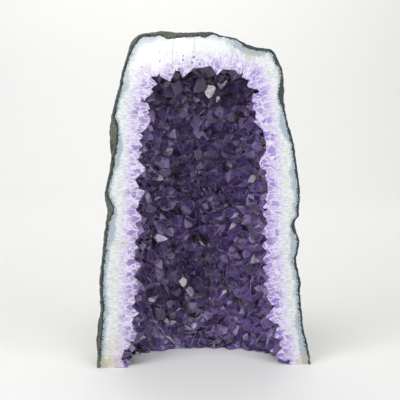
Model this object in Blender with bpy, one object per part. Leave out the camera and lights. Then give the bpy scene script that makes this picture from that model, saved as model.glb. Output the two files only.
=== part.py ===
"""Half of a tall amethyst geode, sawn open at the front and flat at the base, standing upright.

Metres, +Z up. The sawn front faces -Y, and the origin is at the bottom centre of the bounding box.
The nodule is modelled whole, hollowed, lined with crystals, and then sawn, as the real one is.
"""

import math
import random

import bmesh
import bpy
import numpy as np
from mathutils import Matrix, Vector, noise

MM = 0.001

# The sawn front's outer outline, as (x, z) in millimetres, clockwise from below the left foot.
# The points under z = 0 close the nodule below the base, and are sawn away.
RIM_MM = (
    (-86, -45), (-94, -20), (-96.5, 0), (-96, 13), (-94, 35), (-93, 55), (-93.5, 78), (-91.5, 97),
    (-90.5, 107), (-88.5, 124), (-86, 143), (-88, 156), (-86, 169), (-83, 180), (-82, 190),
    (-79.5, 200), (-82, 207), (-83.5, 213), (-82, 225), (-78.5, 239), (-74.5, 254), (-71.5, 268),
    (-68, 278.5), (-65.5, 286.5), (-62.5, 293.5), (-56, 298.5), (-44, 300.5), (-35, 301.5),
    (-22, 300), (-8, 300.5), (7, 300.5), (15, 298), (27, 295.5), (36, 291), (46, 287.5),
    (54, 286.5), (61, 284.5), (66, 276), (70, 266), (71.5, 250), (71.5, 239), (75, 221),
    (79.5, 207), (81.5, 196), (84, 180), (86.5, 160), (86, 147), (85.5, 137), (82, 129),
    (86.5, 113), (84, 98), (85, 89), (88, 77), (87.5, 66), (89.5, 48), (91, 34), (95, 18),
    (97.5, 5), (98, -14), (92, -45), (62, -95), (0, -118), (-60, -95),
)  # fmt: skip

# Where the stone wall ends and the crystal crust begins, in the same plane
CAVITY_MM = (
    (-78, -45), (-81, -10), (-77, 10), (-73.5, 32), (-72, 62), (-71, 100), (-68, 140),
    (-66, 180), (-64, 215), (-61, 246), (-55, 266), (-43, 276), (-18, 279), (12, 278.5),
    (38, 274), (52, 262), (57, 244), (60, 222), (64, 195), (66, 160), (67, 115), (70, 70),
    (74, 36), (81, 10), (84, -12), (80, -45), (52, -82), (0, -100), (-50, -82),
)  # fmt: skip

CENTRE_Z = 0.110  # height of the nodule's middle, from which its outlines are star-shaped
DEPTH = 0.113  # from the sawn front to the back of the rind
CAVITY_DEPTH = 0.093  # from the sawn front to the back of the stone wall's inside
SECTION_POWER = 0.92  # below 1, the cross-sections are a little squarer than an ellipse

# On the left the rind swells out a little behind the saw cut
BELLY = 0.02
BELLY_FOCUS = 4.0  # more draws the swelling away from the top, to the left

# The outline's notches are smoothed away close behind the cut, and its corners farther back:
# the angle that each is smoothed over, and the share of the depth where that is complete
NOTCH_ROUNDING, NOTCH_REACH = math.radians(3.5), 0.16
CORNER_ROUNDING, CORNER_REACH = math.radians(24), 0.8

# Bumps of the rind, broad and fine, and how far behind the cut they reach their full height
BUMP_SIZE = 0.034
BUMP_HEIGHT = 0.0045
PIMPLE_SIZE = 0.013
PIMPLE_HEIGHT = 0.0016
BUMP_FADE = 0.022
BUMP_SINKING = 0.35  # share of their height by which all bumps lie lower, so that the cut rim stays widest

# Points round each form and from its front to its back: odd ring counts keep the rings off the saw plane
RIND_SEGMENTS, RIND_RINGS = 240, 71
CAVITY_SEGMENTS, CAVITY_RINGS = 40, 13
BED_SEGMENTS, BED_RINGS = 36, 15
RING_GATHERING = 0.6  # 0 spreads the rings evenly, more draws them towards the saw plane
SAWN_AWAY_WEIGHT = 0.25  # share of the points spent on what the base cut takes away
RIND_KEPT = 0.09  # share of the rind's faces that are kept where they matter most
ROUGH_SAW_MARGIN = 0.008  # the first cuts leave this much to be sawn away

# The crystal crust
CRUST_GAP = 0.00035  # between the crust and the stone wall
CRUST_LIFT = 0.0004  # the stone alone touches the ground
BED_THICKNESS = 0.0035  # the crust is solid up to here, and the tips stand higher
TIP_HEIGHT = 0.0145  # of a crystal with the middle radius, above the stone wall
TIP_HEIGHT_GROWTH = 0.5  # how much taller a wider crystal stands, as a share of its extra radius
TIP_HEIGHT_SPREAD = 0.0012
ROOT_DEPTH = 0.012  # crystals are grown from inside the wall, and only what is in the hollow counts
CRYSTAL_LEAN = math.radians(11)
CRYSTAL_RADII = (0.0135, 0.0120, 0.0105, 0.0092)
MIDDLE_RADIUS = 0.0110
CRYSTAL_TRIES = (250, 500, 1500, 9000)
CRYSTAL_SPACING = 0.72  # least distance between two crystals, as a share of their radii's sum
CRYSTAL_SPREAD = 1.4  # a crystal's prism over its own radius, so that neighbours grow together
GROWTH_MARGIN = 0.014  # crystals also grow this far beyond the saw planes
TIP_ANGLE = math.radians(38.2)  # between a quartz tip's faces and its axis
PRISM_FOOT = -6.0  # the lower end of the prism that the tips are cut from, for a radius of 1
HABITS = 14
GROWTH_SEED = 7

SAW_SPAN = 0.5  # size of the block that the sawn half is kept inside

RIND_COLOUR = (0.115, 0.140, 0.115, 1)
QUARTZ_COLOUR = (0.62, 0.65, 0.68, 1)
AMETHYST_COLOUR = (0.115, 0.065, 0.26, 1)


def closed_spline(points, steps=12):
    """Points along a smooth closed curve through the given ones."""
    p = np.array(points, float) * MM
    before, after, beyond = np.roll(p, 1, 0), np.roll(p, -1, 0), np.roll(p, -2, 0)
    rows = []
    for t in np.arange(steps) / steps:
        rows.append(
            0.5
            * (
                2 * p
                + (after - before) * t
                + (2 * before - 5 * p + 4 * after - beyond) * t**2
                + (3 * p - before - 3 * after + beyond) * t**3
            )
        )
    return np.stack(rows, 1).reshape(-1, 2)


def polar(outline):
    """(angles, radii) of an outline about the nodule's middle, at even steps of one turn."""
    x, z = outline[:, 0], outline[:, 1] - CENTRE_Z
    angles = np.linspace(-math.pi, math.pi, 721)
    radii = np.interp(angles, *sorted_turn(np.arctan2(z, x), np.hypot(x, z)), period=2 * math.pi)
    return angles, radii


def sorted_turn(angles, radii):
    order = np.argsort(angles)
    return angles[order], radii[order]


def rounded(outline, over):
    """The polar outline, smoothed over that angle."""
    angles, radii = outline
    step = angles[1] - angles[0]
    reach = int(3 * over / step)
    weights = np.exp(-0.5 * (np.arange(-reach, reach + 1) * step / over) ** 2)
    padded = np.concatenate([radii[-reach - 1 : -1], radii, radii[1 : reach + 1]])
    return angles, np.convolve(padded, weights / weights.sum(), "valid")


def evenly_turned(turns, outline):
    """Turns at even steps of angle, moved to even steps along the outline."""
    angles, radii = outline
    x, z = radii * np.cos(angles), CENTRE_Z + radii * np.sin(angles)
    weight = np.where(z[1:] < 0, SAWN_AWAY_WEIGHT, 1.0)
    length = np.concatenate([[0], np.cumsum(np.hypot(np.diff(x), np.diff(z)) * weight)])
    return np.interp((turns + math.pi) / (2 * math.pi), length / length[-1], angles)


def eased(share):
    """0 to 1, with level ends."""
    share = np.clip(share, 0, 1)
    return share * share * (3 - 2 * share)


def outlines(points):
    """A wall's outline in the saw plane, close behind it, and far behind it."""
    front = polar(closed_spline(points))
    return front, rounded(front, NOTCH_ROUNDING), rounded(front, CORNER_ROUNDING)


RIM = outlines(RIM_MM)
CAVITY = outlines(CAVITY_MM)


def wall_points(directions, wall, depth, inset=0.0, belly=0.0):
    """Where directions from the nodule's middle meet the wall with those outlines and that depth."""
    across = np.hypot(directions[:, 0], directions[:, 2])
    turn = np.arctan2(directions[:, 2], directions[:, 0])
    back = np.abs(directions[:, 1])
    front, near, far = (np.interp(turn, *outline) for outline in wall)
    reach = front + (near - front) * eased(back / NOTCH_REACH) + (far - near) * eased(back / CORNER_REACH)
    reach = reach - inset
    left = (0.5 - directions[:, 0] / np.maximum(across, 1e-9) / 2) ** BELLY_FOCUS
    width = across**SECTION_POWER + 2 * across * back * belly * left
    y = (depth - inset) * np.sign(directions[:, 1]) * back**SECTION_POWER
    return np.stack([reach * width * np.cos(turn), y, CENTRE_Z + reach * width * np.sin(turn)], 1)


def rind_relief(point):
    """How far the rough rind stands out of its smooth form at a point."""
    fade = float(eased(abs(point.y) / BUMP_FADE))
    broad = noise.noise(point / BUMP_SIZE)
    fine = noise.noise(point / PIMPLE_SIZE + Vector((7, 3, 5)))
    return fade * (BUMP_HEIGHT * (broad - BUMP_SINKING) + PIMPLE_HEIGHT * (fine - BUMP_SINKING))


def unit_ball(segments, rings):
    """A ball whose poles lie at the front and the back."""
    bm = bmesh.new()
    poles_forward = Matrix.Rotation(math.radians(90), 4, "X")
    bmesh.ops.create_uvsphere(
        bm, u_segments=segments, v_segments=rings, radius=1, matrix=poles_forward
    )
    return bm


def spread_directions(bm, outline):
    """The ball's own directions, spaced evenly along the outline and drawn towards the saw plane."""
    points = np.array([v.co.normalized() for v in bm.verts])
    turn = evenly_turned(np.arctan2(points[:, 2], points[:, 0]), outline)
    height = np.arcsin(np.clip(points[:, 1], -1, 1))
    height = height - RING_GATHERING * np.sin(2 * height) / 2
    return np.stack([np.cos(height) * np.cos(turn), np.sin(height), np.cos(height) * np.sin(turn)], 1)


def formed_ball(segments, rings, wall, depth, inset=0.0, belly=0.0):
    """A closed ball stretched to the wall with those outlines and that depth.

    Its quads are split the same way in every ball, so that the crust's back follows the stone wall.
    """
    bm = unit_ball(segments, rings)
    bmesh.ops.triangulate(bm, faces=bm.faces, quad_method="FIXED")
    places = wall_points(spread_directions(bm, wall[0]), wall, depth, inset, belly)
    for v, place in zip(bm.verts, places):
        v.co = place
    bmesh.ops.recalc_face_normals(bm, faces=bm.faces)
    return bm


def cavity_ball(segments, rings, inset=0.0):
    """The hollow in the stone, as a closed ball."""
    return formed_ball(segments, rings, CAVITY, CAVITY_DEPTH, inset)


def add_object(name, bm, collection):
    """The finished bmesh as an object."""
    mesh = bpy.data.meshes.new(name)
    bm.to_mesh(mesh)
    bm.free()
    obj = bpy.data.objects.new(name, mesh)
    collection.objects.link(obj)
    return obj


def add_cutter(name, bm, collection):
    """An object that only shapes others."""
    obj = add_object(name, bm, collection)
    obj.hide_render = True
    obj.display_type = "WIRE"
    return obj


def add_boolean(obj, operation, other):
    """A Boolean step on obj."""
    step = obj.modifiers.new(f"{operation.lower()}_{other.name}", "BOOLEAN")
    step.operation = operation
    step.object = other
    step.solver = "EXACT"
    return step


def plain_material(name, colour, roughness, transmission=0.0):
    """A Principled BSDF in one colour."""
    material = bpy.data.materials.new(name)
    material.use_nodes = True
    material.diffuse_color = colour
    shader = material.node_tree.nodes["Principled BSDF"]
    shader.inputs["Base Color"].default_value = colour
    shader.inputs["Roughness"].default_value = roughness
    shader.inputs["Metallic"].default_value = 0.0
    shader.inputs["IOR"].default_value = 1.544
    shader.inputs["Transmission Weight"].default_value = transmission
    return material


def saw_block(name, lift, cutters):
    """The block of space that stays after both saw cuts: behind the front and above the base."""
    bm = bmesh.new()
    bmesh.ops.create_cube(bm, size=SAW_SPAN)
    bmesh.ops.translate(bm, verts=bm.verts, vec=(0, SAW_SPAN / 2, SAW_SPAN / 2 + lift))
    return add_cutter(name, bm, cutters)


def rough_rind():
    """The outside of the nodule, with its bumps, cut a little outside both saw planes."""
    bm = formed_ball(RIND_SEGMENTS, RIND_RINGS, RIM, DEPTH, belly=BELLY)
    bm.normal_update()
    for v, normal in [(v, v.normal.copy()) for v in bm.verts]:
        v.co += normal * rind_relief(v.co)
    for side in (Vector((0, -1, 0)), Vector((0, 0, -1))):
        cut = bmesh.ops.bisect_plane(
            bm,
            geom=bm.verts[:] + bm.edges[:] + bm.faces[:],
            plane_co=side * ROUGH_SAW_MARGIN,
            plane_no=side,
            clear_outer=True,
        )
        edges = [g for g in cut["geom_cut"] if isinstance(g, bmesh.types.BMEdge)]
        bmesh.ops.contextual_create(bm, geom=edges)
    return bm


def wall_place(direction):
    """(point, direction into the hollow) on the inside of the stone wall."""
    around = Vector(direction).orthogonal().normalized()
    beside = Vector(direction).cross(around)
    step = 0.01
    rays = [direction, direction + around * step, direction + beside * step]
    rays = np.array([Vector(r).normalized() for r in rays])
    here, first, second = map(Vector, wall_points(rays, CAVITY, CAVITY_DEPTH))
    normal = (first - here).cross(second - here).normalized()
    if normal.dot(here - Vector((0, 0, CENTRE_Z))) > 0:
        normal.negate()
    return here, normal


def crystal_sites(rng):
    """(place, inward direction, radius) of each crystal, large ones first, spread over the wall."""
    places, radii, sites = [], [], []
    for radius, tries in zip(CRYSTAL_RADII, CRYSTAL_TRIES):
        for _ in range(tries):
            direction = Vector([rng.gauss(0, 1) for _ in range(3)]).normalized()
            point, inward = wall_place(direction)
            if point.y < -GROWTH_MARGIN or point.z < -GROWTH_MARGIN:
                continue
            if places:
                away = np.linalg.norm(np.array(places) - np.array(point), axis=1)
                if (away < CRYSTAL_SPACING * (np.array(radii) + radius)).any():
                    continue
            places.append(tuple(point))
            radii.append(radius)
            sites.append((point, inward, radius * rng.uniform(0.92, 1.08)))
    return sites


def crystal_habit(rng):
    """(points, faces) of one quartz tip on a long six-sided prism, for a radius of 1, with its apex at 0.

    Three of the tip's six faces are the large ones, and each stands at its own distance from the axis,
    as on real crystals.
    """
    bm = bmesh.new()
    middle = Matrix.Translation((0, 0, PRISM_FOOT / 2 + 1))
    bmesh.ops.create_cone(
        bm, cap_ends=True, segments=6, radius1=1, radius2=1, depth=2 - PRISM_FOOT, matrix=middle
    )
    first_large = rng.randrange(2)
    slope = math.sin(TIP_ANGLE), math.cos(TIP_ANGLE)
    for face in range(6):
        turn = math.radians(60 * face + 30)
        lift = rng.uniform(-0.10, 0.22) if face % 2 == first_large else rng.uniform(0.10, 0.50)
        cut = bmesh.ops.bisect_plane(
            bm,
            geom=bm.verts[:] + bm.edges[:] + bm.faces[:],
            dist=1e-6,
            plane_co=(0, 0, lift),
            plane_no=(math.cos(turn) * slope[1], math.sin(turn) * slope[1], slope[0]),
            clear_outer=True,
        )
        edges = [g for g in cut["geom_cut"] if isinstance(g, bmesh.types.BMEdge)]
        bmesh.ops.contextual_create(bm, geom=edges)
    bmesh.ops.remove_doubles(bm, verts=bm.verts, dist=1e-5)
    bmesh.ops.recalc_face_normals(bm, faces=bm.faces)
    bm.verts.index_update()
    points = np.array([v.co for v in bm.verts])
    points[:, 2] -= points[:, 2].max()
    faces = [[v.index for v in f.verts] for f in bm.faces]
    bm.free()
    return points, faces


def placed_crystal(habit_points, site, rng):
    """A habit's points, grown at a site to its radius, height and lean."""
    point, inward, radius = site
    lean = Vector([rng.gauss(0, CRYSTAL_LEAN) for _ in range(3)])
    axis = (inward + lean).normalized()
    turn = axis.to_track_quat("Z", "Y").to_matrix() @ Matrix.Rotation(rng.uniform(0, math.tau), 3, "Z")
    height = TIP_HEIGHT + TIP_HEIGHT_GROWTH * (radius - MIDDLE_RADIUS) + rng.gauss(0, TIP_HEIGHT_SPREAD)
    grown = habit_points * radius * CRYSTAL_SPREAD
    grown[:, 2] += height
    grown[habit_points[:, 2] < PRISM_FOOT + 1, 2] = -ROOT_DEPTH
    return grown @ np.array(turn).T + np.array(point)


def grown_crystals():
    """All crystals of the crust in one mesh, still overlapping each other."""
    rng = random.Random(GROWTH_SEED)
    habits = [crystal_habit(rng) for _ in range(HABITS)]
    points, faces = [], []
    for site in crystal_sites(rng):
        habit_points, habit_faces = rng.choice(habits)
        first = len(points)
        points.extend(placed_crystal(habit_points, site, rng).tolist())
        faces.extend([first + i for i in face] for face in habit_faces)
    mesh = bpy.data.meshes.new("growing_crystals")
    mesh.from_pydata(points, [], faces)
    bm = bmesh.new()
    bm.from_mesh(mesh)
    bpy.data.meshes.remove(mesh)
    return bm


def make_shell(parts, cutters):
    """The stone wall: the nodule less its hollow, sawn."""
    shell = add_object("geode_shell", rough_rind(), parts)
    thinning = shell.modifiers.new("fewer_faces", "DECIMATE")
    thinning.ratio = RIND_KEPT
    inside = add_cutter("stone_inside", cavity_ball(CAVITY_SEGMENTS, CAVITY_RINGS), cutters)
    saw = saw_block("saw_for_stone", 0.0, cutters)
    add_boolean(shell, "DIFFERENCE", inside)
    add_boolean(shell, "INTERSECT", saw)
    for obj in (shell, inside, saw):
        obj.data.materials.append(plain_material("rind_stone", RIND_COLOUR, 0.9))
        obj.data.materials.append(plain_material("sawn_quartz", QUARTZ_COLOUR, 0.25))
    for obj in (inside, saw):
        obj.data.polygons.foreach_set("material_index", [1] * len(obj.data.polygons))
    return shell


def largest_piece(obj):
    """obj as its modifiers leave it, without small pieces that aren't joined to the rest."""
    evaluated = obj.evaluated_get(bpy.context.evaluated_depsgraph_get())
    bm = bmesh.new()
    bm.from_mesh(evaluated.data)
    waiting = set(bm.faces)
    pieces = []
    while waiting:
        piece = [waiting.pop()]
        for face in piece:
            beside = {f for v in face.verts for f in v.link_faces} & waiting
            waiting -= beside
            piece.extend(beside)
        pieces.append(piece)
    keep = max(pieces, key=len)
    drop = [face for piece in pieces if piece is not keep for face in piece]
    bmesh.ops.delete(bm, geom=drop, context="FACES")
    return bm


def make_crust(parts, cutters):
    """The crystals joined into one solid on their bed, and sawn with the stone.

    The open space is found first: the hollow above the bed, less every crystal. The crust is all that
    lies between that space and the stone wall.
    """
    above_bed = cavity_ball(BED_SEGMENTS, BED_RINGS, BED_THICKNESS)
    space = add_cutter("space_above_bed", above_bed, cutters)
    crystals = add_cutter("growing_crystals", grown_crystals(), cutters)
    add_boolean(space, "DIFFERENCE", crystals).use_self = True
    open_space = add_cutter("open_space", largest_piece(space), cutters)
    to_wall = cavity_ball(CAVITY_SEGMENTS, CAVITY_RINGS, CRUST_GAP)
    grown = add_cutter("growing_crust", to_wall, cutters)
    add_boolean(grown, "DIFFERENCE", open_space)
    add_boolean(grown, "INTERSECT", saw_block("saw_for_crust", CRUST_LIFT, cutters))
    crust = add_object("crystal_crust", largest_piece(grown), parts)
    crust.data.materials.append(plain_material("amethyst", AMETHYST_COLOUR, 0.08, 0.5))
    return crust


def stand_on_origin(shell, others):
    """Moves everything so that the bottom centre of the shell's bounding box is at the origin."""
    evaluated = shell.evaluated_get(bpy.context.evaluated_depsgraph_get())
    corners = np.array(evaluated.bound_box)
    middle = (corners.min(0) + corners.max(0)) / 2
    for obj in (shell, *others):
        obj.location = (-middle[0], -middle[1], 0)


def main():
    for obj in list(bpy.data.objects):
        bpy.data.objects.remove(obj)
    parts = bpy.data.collections.new("amethyst_geode")
    cutters = bpy.data.collections.new("cutters")
    bpy.context.scene.collection.children.link(parts)
    bpy.context.scene.collection.children.link(cutters)
    shell = make_shell(parts, cutters)
    crust = make_crust(parts, cutters)
    stand_on_origin(shell, [crust, *cutters.objects])


main()
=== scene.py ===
"""Looks of the standing amethyst geode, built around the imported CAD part.

Metres, +Z up. The sawn front faces -Y. The stone and the crystals are modelled again from the same outlines
as the CAD, with finer relief, smaller crystals and the bands of the sawn rim.
"""

import math
import random

import bmesh
import bpy
import numpy as np
from mathutils import Matrix, Vector, noise


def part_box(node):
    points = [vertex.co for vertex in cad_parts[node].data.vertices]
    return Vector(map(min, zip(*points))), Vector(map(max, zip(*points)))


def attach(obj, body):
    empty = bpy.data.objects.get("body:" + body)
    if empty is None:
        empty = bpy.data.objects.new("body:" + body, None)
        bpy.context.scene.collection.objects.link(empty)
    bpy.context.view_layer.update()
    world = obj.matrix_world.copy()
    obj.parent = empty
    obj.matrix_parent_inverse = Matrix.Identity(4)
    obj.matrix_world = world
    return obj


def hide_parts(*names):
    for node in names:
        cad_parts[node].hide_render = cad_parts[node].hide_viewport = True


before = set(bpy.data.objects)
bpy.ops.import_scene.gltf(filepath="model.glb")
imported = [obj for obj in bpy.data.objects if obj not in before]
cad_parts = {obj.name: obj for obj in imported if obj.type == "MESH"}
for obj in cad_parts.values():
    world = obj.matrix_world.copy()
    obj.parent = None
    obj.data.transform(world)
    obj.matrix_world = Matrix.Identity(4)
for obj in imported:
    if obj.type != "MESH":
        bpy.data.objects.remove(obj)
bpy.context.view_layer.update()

MM = 0.001

# The sawn front's outer outline, as (x, z) in millimetres, clockwise from below the left foot
RIM_MM = (
    (-86, -45), (-94, -20), (-96.5, 0), (-96, 13), (-94, 35), (-93, 55), (-93.5, 78), (-91.5, 97),
    (-90.5, 107), (-88.5, 124), (-86, 143), (-88, 156), (-86, 169), (-83, 180), (-82, 190),
    (-79.5, 200), (-82, 207), (-83.5, 213), (-82, 225), (-78.5, 239), (-74.5, 254), (-71.5, 268),
    (-68, 278.5), (-65.5, 286.5), (-62.5, 293.5), (-56, 298.5), (-44, 300.5), (-35, 301.5),
    (-22, 300), (-8, 300.5), (7, 300.5), (15, 298), (27, 295.5), (36, 291), (46, 287.5),
    (54, 286.5), (61, 284.5), (66, 276), (70, 266), (71.5, 250), (71.5, 239), (75, 221),
    (79.5, 207), (81.5, 196), (84, 180), (86.5, 160), (86, 147), (85.5, 137), (82, 129),
    (86.5, 113), (84, 98), (85, 89), (88, 77), (87.5, 66), (89.5, 48), (91, 34), (95, 18),
    (97.5, 5), (98, -14), (92, -45), (62, -95), (0, -118), (-60, -95),
)  # fmt: skip

# Where the stone wall ends and the crystal crust begins, in the saw plane
CAVITY_MM = (
    (-78, -45), (-81, -10), (-77, 10), (-73.5, 32), (-72, 62), (-71, 100), (-68, 140),
    (-66, 180), (-64, 215), (-61, 246), (-55, 266), (-43, 276), (-18, 279), (12, 278.5),
    (38, 274), (52, 262), (57, 244), (60, 222), (64, 195), (66, 160), (67, 115), (70, 70),
    (74, 36), (81, 10), (84, -12), (80, -45), (52, -82), (0, -100), (-50, -82),
)  # fmt: skip

CENTRE_Z = 0.110  # height of the nodule's middle
DEPTH = 0.113  # from the sawn front to the back of the rind
CAVITY_DEPTH = 0.093  # from the sawn front to the back of the stone wall's inside
IN_THE_HOLLOW = (0, 0.02, CENTRE_Z)
SECTION_POWER = 0.92  # below 1, the cross-sections are a little squarer than an ellipse
BELLY, BELLY_FOCUS = 0.02, 4.0  # share by which the left side swells behind the cut

# Notches fade close behind the cut, and corners further back: smoothing angle, reach as a share
NOTCH_ROUNDING, NOTCH_REACH = math.radians(3.5), 0.16
CORNER_ROUNDING, CORNER_REACH = math.radians(24), 0.8

# Relief of the rind, from broad to fine: size of the bumps, height, fade behind the rim, pattern's shift
BUMPS = (
    (0.034, 0.0045, 0.022, (0, 0, 0)),
    (0.013, 0.0016, 0.022, (7, 3, 5)),
    (0.0055, 0.0008, 0.0015, (7, 14, 5)),
    (0.0024, 0.00035, 0.0015, (7, 14, 5)),
)
BUMP_SINKING = 0.35  # share of their height by which all bumps lie lower
RIM_CHIPS = ((0.0045, 0.0006), (0.0017, 0.00035))  # size and depth of the chips in the sawn edge

# Points of the stone's mesh round the rim, over the rind, across the cut rim and down the wall inside
AROUND = 700
RIND_ROWS = 84
CUT_ROWS = 34
WALL_ROWS = 10
ROW_GATHERING = 1.15  # above 1, the rind's rows lie closer near the rim
SAWN_AWAY_WEIGHT = 0.15  # of the points on what the base cut takes away
ON_PLANE = 1e-6  # a point this close to a saw plane lies on it
BASE_WALL = 0.015  # thickness of the wall that the bands of the base are drawn for
OUTLINE_STEPS = 40  # points for each of an outline's own, to measure distances from it
AT_ONCE = 4000  # places handled together, to save memory
RIND, RIM_CUT, BASE_CUT, INNER_WALL = 0, 1, 2, 3  # material slots of the stone

# Crystals
CRUST_BACK = 0.0006  # the crust reaches this far into the stone wall, so that no gap shows
CRUST_PROUD = 0.00008  # its sawn face is this far in front of the stone's
CRUST_LIFT = 0.0004  # the stone alone touches the ground
BED_THICKNESS = 0.0068  # the crust is solid up to here, and the tips stand higher
BED_ROUGHNESS = 0.0013
BED_GRID, BACK_GRID = (120, 75), (160, 61)  # segments and rings
CUT_BED_EXTRA = 0.0018  # the bed is that much thicker near the saw plane
GROWTH_REACH = 0.012  # how far behind the saw plane its extra growth fades
TIP_HEIGHT = 0.0142  # of a crystal with the middle radius, above the stone wall
TIP_HEIGHT_GROWTH = 1.0  # extra height of a wider crystal, over its extra radius
TIP_HEIGHT_SPREAD = 0.0014
ROOT_DEPTH = 0.008  # crystals are grown from inside the wall
CRYSTAL_LEAN = math.radians(12)
STRAIGHT_SHARE, WILD_LEAN = 0.6, 2.6  # the other small crystals lean by that much more
CRYSTAL_RADII = (0.0080, 0.0070, 0.0060, 0.0050, 0.0040)
RADIUS_SPREAD = 0.08
MIDDLE_RADIUS = 0.0062
CRYSTAL_TRIES = (260, 800, 2500, 7000, 20000)  # places tried for each of those radii
CRYSTAL_SPACING = 0.68  # least distance between two crystals, over the sum of their radii
CRYSTAL_SPREAD = 1.25  # a prism's radius over its crystal's, so that neighbours grow together
GROWTH_MARGIN = 0.012  # crystals also grow this far beyond the saw planes
GROUP_CLEARANCE = 0.004  # between crystals that are cut out in one step
TIP_ANGLE = math.radians(38.2)  # between a quartz tip's faces and its axis
LARGE_FACE_LIFT, SMALL_FACE_LIFT = (-0.10, 0.22), (0.10, 0.50)  # heights at which the tip's faces meet
PRISM_FOOT = -10.0  # lower end of the prism, for a radius of 1
HABITS = 30
GROWTH_SEED = 11
FACET, CUT, BACKING = 0, 1, 2  # material slots of the crust
BORDER_WIDTH = 0.00038
BORDER_DROP = 0.00006
FACET_NARROWEST = 0.00045  # narrower facets, by area over perimeter, get no border
CUT_CELL = 0.0028  # the crust's cut faces are split this fine, to carry the growth pattern
CUT_SPANS = ((0, -0.085, 0.090), (2, 0.0, 0.285), (1, 0.0, 0.1))  # axis, from, to
SAW_SPAN = 0.5  # size of the block that the sawn half is kept inside
CRYSTAL_SPAN = (-0.004, 0.024)  # part of a crystal's axis that has facets, from its root
FARTHEST = 3  # largest distance from a crystal's axis, over its radius
SIDES = 12  # directions in which a crystal's facets are told apart
STEEP = 0.35  # a facet is one of the prism's below this cosine to the axis
ALONG_BEHIND = 0.07  # radius that turns angles into lengths behind the saw plane

# Where the rind is thicker in the cut: (x, z) of each lump, extra thickness and radius, in millimetres
RIND_LUMPS_MM = (
    ((-79, 214), 6.5, 8.0), ((-84, 145), 4.5, 8.0), ((-62, 293), 1.8, 8.0), ((-42, 302), 1.6, 8.0),
    ((-31, 298.5), 6.5, 4.6), ((-22, 301), 2.6, 8.0), ((-10, 302), 1.8, 8.0), ((1, 298.5), 5.0, 3.6),
    ((21, 299), -1.2, 10.0), ((46, 288), 1.0, 12.0), ((66, 276), 0.8, 7.0), ((72, 247), 5.0, 8.0),
    ((83, 127), 3.6, 4.0),
)  # fmt: skip

# Places where the sawn crystals reach further into the hollow, in the same form
GROWTH_MM = (
    ((-60, 236), 4.6, 34.0), ((56, 240), 5.4, 34.0), ((66, 160), 2.6, 45.0), ((72, 60), 2.0, 45.0),
    ((-27, 276), 4.2, 14.0),
)  # fmt: skip

CRACK_FADE = 2  # millimetres over which a crack's ends fade

CAMERA_AZIMUTH, CAMERA_ELEVATION = math.radians(-4), math.radians(7)
CAMERA_DISTANCE = 1.1
CAMERA_ASIDE, CAMERA_HEIGHT = -0.0033, 0.1521  # the point that it looks at
LENS, SENSOR = 110.9, 36  # millimetres

FLOOR_HALF_WIDTH, FLOOR_FRONT = 4, -3.0
SWEEP_START, SWEEP_RADIUS, SWEEP_STEPS = 1.2, 0.8, 12
BACKDROP_HEIGHT = 3.5


def closed_spline(points, steps=12):
    """Points along a smooth closed curve through the given ones."""
    p = np.array(points, float) * MM
    before, after, beyond = np.roll(p, 1, 0), np.roll(p, -1, 0), np.roll(p, -2, 0)
    rows = []
    for t in np.arange(steps) / steps:
        curve = 2 * p + (after - before) * t
        curve += (2 * before - 5 * p + 4 * after - beyond) * t**2
        curve += (3 * p - before - 3 * after + beyond) * t**3
        rows.append(0.5 * curve)
    return np.stack(rows, 1).reshape(-1, 2)


def polar(outline):
    """(angles, radii) of an outline about the nodule's middle, at even steps of one turn."""
    x, z = outline[:, 0], outline[:, 1] - CENTRE_Z
    turns = np.arctan2(z, x)
    order = np.argsort(turns)
    angles = np.linspace(-math.pi, math.pi, 721)
    return angles, np.interp(angles, turns[order], np.hypot(x, z)[order], period=2 * math.pi)


def rounded(outline, over):
    """The polar outline, smoothed over that angle."""
    angles, radii = outline
    step = angles[1] - angles[0]
    reach = int(3 * over / step)
    weights = np.exp(-0.5 * (np.arange(-reach, reach + 1) * step / over) ** 2)
    padded = np.concatenate([radii[-reach - 1 : -1], radii, radii[1 : reach + 1]])
    return angles, np.convolve(padded, weights / weights.sum(), "valid")


def evenly_turned(turns, outline):
    """Turns at even steps of angle, moved to even steps along the outline."""
    angles, radii = outline
    x, z = radii * np.cos(angles), CENTRE_Z + radii * np.sin(angles)
    weight = np.where(z[1:] < -0.004, SAWN_AWAY_WEIGHT, 1.0)
    length = np.concatenate([[0], np.cumsum(np.hypot(np.diff(x), np.diff(z)) * weight)])
    return np.interp((turns + math.pi) / (2 * math.pi), length / length[-1], angles)


def eased(share):
    """0 to 1, with level ends."""
    share = np.clip(share, 0, 1)
    return share * share * (3 - 2 * share)


def outlines(points):
    """A wall's outline in the saw plane, close behind it, and far behind it."""
    front = polar(closed_spline(points))
    return front, rounded(front, NOTCH_ROUNDING), rounded(front, CORNER_ROUNDING)


RIM = outlines(RIM_MM)
CAVITY = outlines(CAVITY_MM)


def wall_points(directions, wall, depth, inset=0.0, belly=0.0):
    """Where directions from the nodule's middle meet the wall with those outlines and that depth."""
    across = np.hypot(directions[:, 0], directions[:, 2])
    turn = np.arctan2(directions[:, 2], directions[:, 0])
    back = np.abs(directions[:, 1])
    front, near, far = (np.interp(turn, *outline) for outline in wall)
    reach = front + (near - front) * eased(back / NOTCH_REACH) + (far - near) * eased(back / CORNER_REACH)
    reach = reach - inset
    left = (0.5 - directions[:, 0] / np.maximum(across, 1e-9) / 2) ** BELLY_FOCUS
    width = across**SECTION_POWER + 2 * across * back * belly * left
    y = (depth - inset) * np.sign(directions[:, 1]) * back**SECTION_POWER
    return np.stack([reach * width * np.cos(turn), y, CENTRE_Z + reach * width * np.sin(turn)], 1)


def directions(turn, height):
    """Unit vectors for turns about Y and angles behind the saw plane."""
    return np.stack([np.cos(height) * np.cos(turn), np.sin(height), np.cos(height) * np.sin(turn)], -1)


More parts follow.
